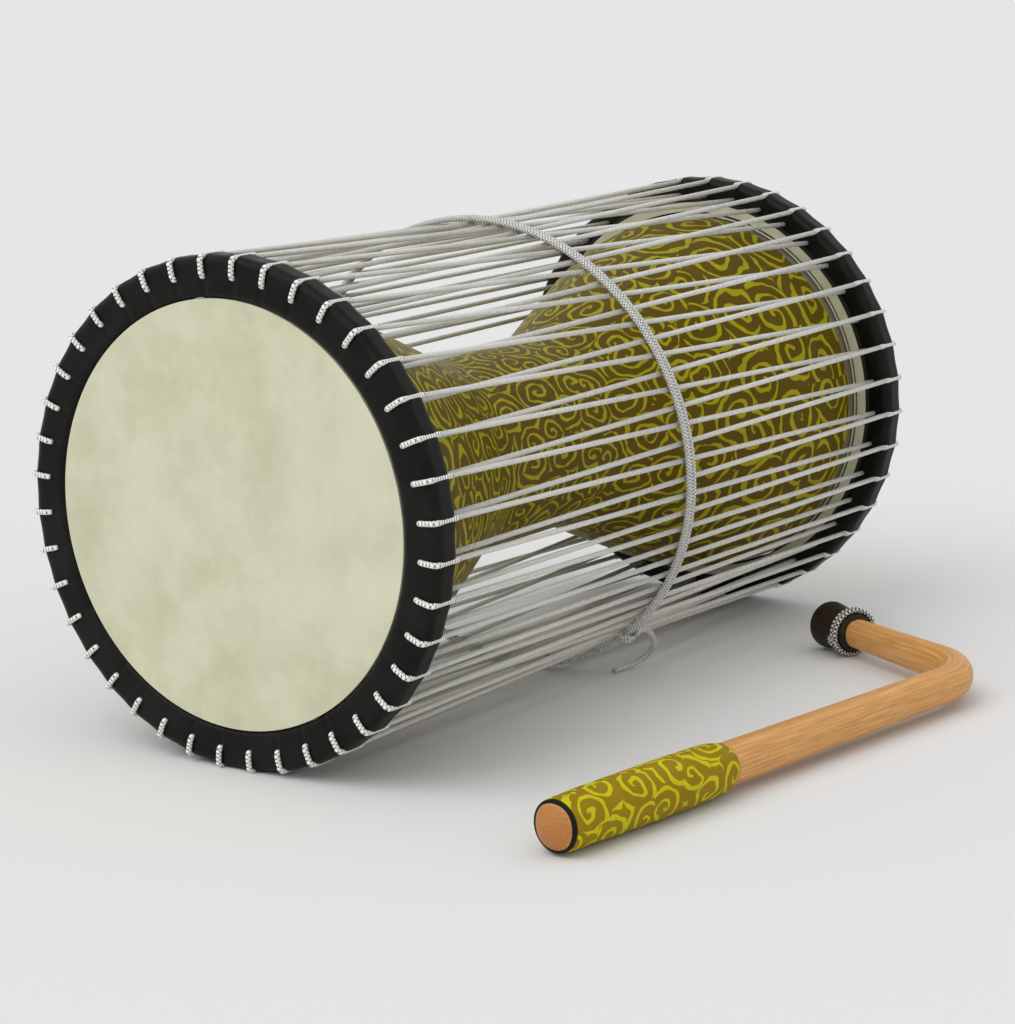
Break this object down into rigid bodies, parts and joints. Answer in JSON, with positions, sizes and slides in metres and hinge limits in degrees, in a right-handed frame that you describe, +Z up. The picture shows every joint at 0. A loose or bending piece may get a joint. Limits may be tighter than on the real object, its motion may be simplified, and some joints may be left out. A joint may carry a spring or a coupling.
{
  "type": "talking drum",
  "caption": "Hourglass talking drum lying on its side, laced ring to ring with squeezable tension cords, with a waist drawstring and a bent beater beside it.",
  "frame": {"origin": "middle of the flat under the front ring, where it lies on the floor", "axes": "+Z up, +Y along the drum's axis from the front head to the rear head, +X towards the beater"},
  "size_m": [0.3429, 0.4427, 0.2275],
  "materials": {
    "moulded_fibre": "moulded wood fibre",
    "printed_cloth": "printed cloth",
    "drum_skin": "pale scraped skin",
    "black_cover": "smooth black cover",
    "hoop_wire": "plain wire",
    "braided_cord": "silver-grey braid",
    "flecked_cord": "black and white braid",
    "honey_wood": "satin",
    "padding": "felt",
    "brown_leather": "dark smooth leather"
  },
  "bodies": {
    "drum": {"shell": "moulded_fibre", "wrap": "printed_cloth", "front_head": "drum_skin", "rear_head": "drum_skin", "front_ring_cover": "black_cover", "front_hoop": "hoop_wire", "front_skin_lap": "drum_skin", "front_lacing_loops": "braided_cord", "strands_front_still": "braided_cord", "drawstring": "braided_cord", "drawstring_knot": "braided_cord", "drawstring_tail": "braided_cord", "rear_ring_cover": "black_cover", "rear_hoop": "hoop_wire", "rear_skin_lap": "drum_skin", "rear_lacing_loops": "braided_cord", "strands_rear_still": "braided_cord", "lacing_knots": "braided_cord"},
    "front_strands_right_centre": {"strands_front_right_centre": "braided_cord"},
    "rear_strands_right_centre": {"strands_rear_right_centre": "braided_cord"},
    "front_strands_right_upper": {"strands_front_right_upper": "braided_cord"},
    "rear_strands_right_upper": {"strands_rear_right_upper": "braided_cord"},
    "front_strands_right_high": {"strands_front_right_high": "braided_cord"},
    "rear_strands_right_high": {"strands_rear_right_high": "braided_cord"},
    "front_strands_left_high": {"strands_front_left_high": "braided_cord"},
    "rear_strands_left_high": {"strands_rear_left_high": "braided_cord"},
    "front_strands_left_upper": {"strands_front_left_upper": "braided_cord"},
    "rear_strands_left_upper": {"strands_rear_left_upper": "braided_cord"},
    "front_strands_left_centre": {"strands_front_left_centre": "braided_cord"},
    "rear_strands_left_centre": {"strands_rear_left_centre": "braided_cord"},
    "front_strands_left_lower": {"strands_front_left_lower": "braided_cord"},
    "rear_strands_left_lower": {"strands_rear_left_lower": "braided_cord"},
    "front_strands_left_low": {"strands_front_left_low": "braided_cord"},
    "rear_strands_left_low": {"strands_rear_left_low": "braided_cord"},
    "front_strands_right_low": {"strands_front_right_low": "braided_cord"},
    "rear_strands_right_low": {"strands_rear_right_low": "braided_cord"},
    "front_strands_right_lower": {"strands_front_right_lower": "braided_cord"},
    "rear_strands_right_lower": {"strands_rear_right_lower": "braided_cord"},
    "beater": {"beater_stick": "honey_wood", "beater_grip": "printed_cloth", "beater_grip_trim": "black_cover", "beater_padding": "padding", "beater_cap": "brown_leather", "beater_tie": "flecked_cord", "beater_tie_knot": "flecked_cord"}
  },
  "joints": [
    {"name": "squeeze", "type": "hinge", "parent": "drum", "child": "front_strands_right_centre", "pos_m": [0.10703, 0.0075, 0.11355], "axis": [0, 0, 1], "range_deg": [0, 5.16], "stiffness_Nm_per_rad": 2, "deforming": ["drawstring"]},
    {"name": "bow_rear_right_centre", "type": "hinge", "parent": "drum", "child": "rear_strands_right_centre", "pos_m": [0.1076, 0.3875, 0.11355], "axis": [0, 0, -1], "range_deg": [0, 5.07]},
    {"name": "bow_front_right_upper", "type": "hinge", "parent": "drum", "child": "front_strands_right_upper", "pos_m": [0.09664, 0.0075, 0.11355], "axis": [0, 0, 1], "range_deg": [0, 3.13]},
    {"name": "bow_rear_right_upper", "type": "hinge", "parent": "drum", "child": "rear_strands_right_upper", "pos_m": [0.10073, 0.3875, 0.11355], "axis": [0, 0, -1], "range_deg": [0, 2.91]},
    {"name": "bow_front_right_high", "type": "hinge", "parent": "drum", "child": "front_strands_right_high", "pos_m": [0.07204, 0.0075, 0.11355], "axis": [0, 0, 1], "range_deg": [0, 1.48]},
    {"name": "bow_rear_right_high", "type": "hinge", "parent": "drum", "child": "rear_strands_right_high", "pos_m": [0.07615, 0.3875, 0.11355], "axis": [0, 0, -1], "range_deg": [0, 1.31]},
    {"name": "bow_front_left_high", "type": "hinge", "parent": "drum", "child": "front_strands_left_high", "pos_m": [-0.07013, 0.0075, 0.11355], "axis": [0, 0, -1], "range_deg": [0, 1.48]},
    {"name": "bow_rear_left_high", "type": "hinge", "parent": "drum", "child": "rear_strands_left_high", "pos_m": [-0.07326, 0.3875, 0.11355], "axis": [0, 0, 1], "range_deg": [0, 1.31]},
    {"name": "bow_front_left_upper", "type": "hinge", "parent": "drum", "child": "front_strands_left_upper", "pos_m": [-0.09936, 0.0075, 0.11355], "axis": [0, 0, -1], "range_deg": [0, 3.14]},
    {"name": "bow_rear_left_upper", "type": "hinge", "parent": "drum", "child": "rear_strands_left_upper", "pos_m": [-0.09391, 0.3875, 0.11355], "axis": [0, 0, 1], "range_deg": [0, 2.9]},
    {"name": "bow_front_left_centre", "type": "hinge", "parent": "drum", "child": "front_strands_left_centre", "pos_m": [-0.10703, 0.0075, 0.11355], "axis": [0, 0, -1], "range_deg": [0, 5.17]},
    {"name": "bow_rear_left_centre", "type": "hinge", "parent": "drum", "child": "rear_strands_left_centre", "pos_m": [-0.1076, 0.3875, 0.11355], "axis": [0, 0, 1], "range_deg": [0, 5.06]},
    {"name": "bow_front_left_lower", "type": "hinge", "parent": "drum", "child": "front_strands_left_lower", "pos_m": [-0.09664, 0.0075, 0.11355], "axis": [0, 0, -1], "range_deg": [0, 2.96]},
    {"name": "bow_rear_left_lower", "type": "hinge", "parent": "drum", "child": "rear_strands_left_lower", "pos_m": [-0.10073, 0.3875, 0.11355], "axis": [0, 0, 1], "range_deg": [0, 3.07]},
    {"name": "bow_front_left_low", "type": "hinge", "parent": "drum", "child": "front_strands_left_low", "pos_m": [-0.07204, 0.0075, 0.11355], "axis": [0, 0, -1], "range_deg": [0, 1.33]},
    {"name": "bow_rear_left_low", "type": "hinge", "parent": "drum", "child": "rear_strands_left_low", "pos_m": [-0.07615, 0.3875, 0.11355], "axis": [0, 0, 1], "range_deg": [0, 1.45]},
    {"name": "bow_front_right_low", "type": "hinge", "parent": "drum", "child": "front_strands_right_low", "pos_m": [0.07013, 0.0075, 0.11355], "axis": [0, 0, 1], "range_deg": [0, 1.33]},
    {"name": "bow_rear_right_low", "type": "hinge", "parent": "drum", "child": "rear_strands_right_low", "pos_m": [0.07326, 0.3875, 0.11355], "axis": [0, 0, -1], "range_deg": [0, 1.45]},
    {"name": "bow_front_right_lower", "type": "hinge", "parent": "drum", "child": "front_strands_right_lower", "pos_m": [0.09936, 0.0075, 0.11355], "axis": [0, 0, 1], "range_deg": [0, 2.96]},
    {"name": "bow_rear_right_lower", "type": "hinge", "parent": "drum", "child": "rear_strands_right_lower", "pos_m": [0.09391, 0.3875, 0.11355], "axis": [0, 0, -1], "range_deg": [0, 3.08]},
    {"name": "beater_lift", "type": "slide", "parent": "drum", "child": "beater", "axis": [0, 0, 1], "range_m": [0, 0.25]}
  ],
  "couplings": [
    {"joint": "bow_rear_right_centre", "follows": "squeeze", "ratio": 0.98379},
    {"joint": "bow_front_right_upper", "follows": "squeeze", "ratio": 0.60691},
    {"joint": "bow_rear_right_upper", "follows": "squeeze", "ratio": 0.56358},
    {"joint": "bow_front_right_high", "follows": "squeeze", "ratio": 0.28592},
    {"joint": "bow_rear_right_high", "follows": "squeeze", "ratio": 0.25404},
    {"joint": "bow_front_left_high", "follows": "squeeze", "ratio": 0.28644},
    {"joint": "bow_rear_left_high", "follows": "squeeze", "ratio": 0.25363},
    {"joint": "bow_front_left_upper", "follows": "squeeze", "ratio": 0.60834},
    {"joint": "bow_rear_left_upper", "follows": "squeeze", "ratio": 0.56235},
    {"joint": "bow_front_left_centre", "follows": "squeeze", "ratio": 1.0025},
    {"joint": "bow_rear_left_centre", "follows": "squeeze", "ratio": 0.98135},
    {"joint": "bow_front_left_lower", "follows": "squeeze", "ratio": 0.57405},
    {"joint": "bow_rear_left_lower", "follows": "squeeze", "ratio": 0.59522},
    {"joint": "bow_front_left_low", "follows": "squeeze", "ratio": 0.25867},
    {"joint": "bow_rear_left_low", "follows": "squeeze", "ratio": 0.28028},
    {"joint": "bow_front_right_low", "follows": "squeeze", "ratio": 0.25824},
    {"joint": "bow_rear_right_low", "follows": "squeeze", "ratio": 0.28078},
    {"joint": "bow_front_right_lower", "follows": "squeeze", "ratio": 0.57277},
    {"joint": "bow_rear_right_lower", "follows": "squeeze", "ratio": 0.5966}
  ]
}
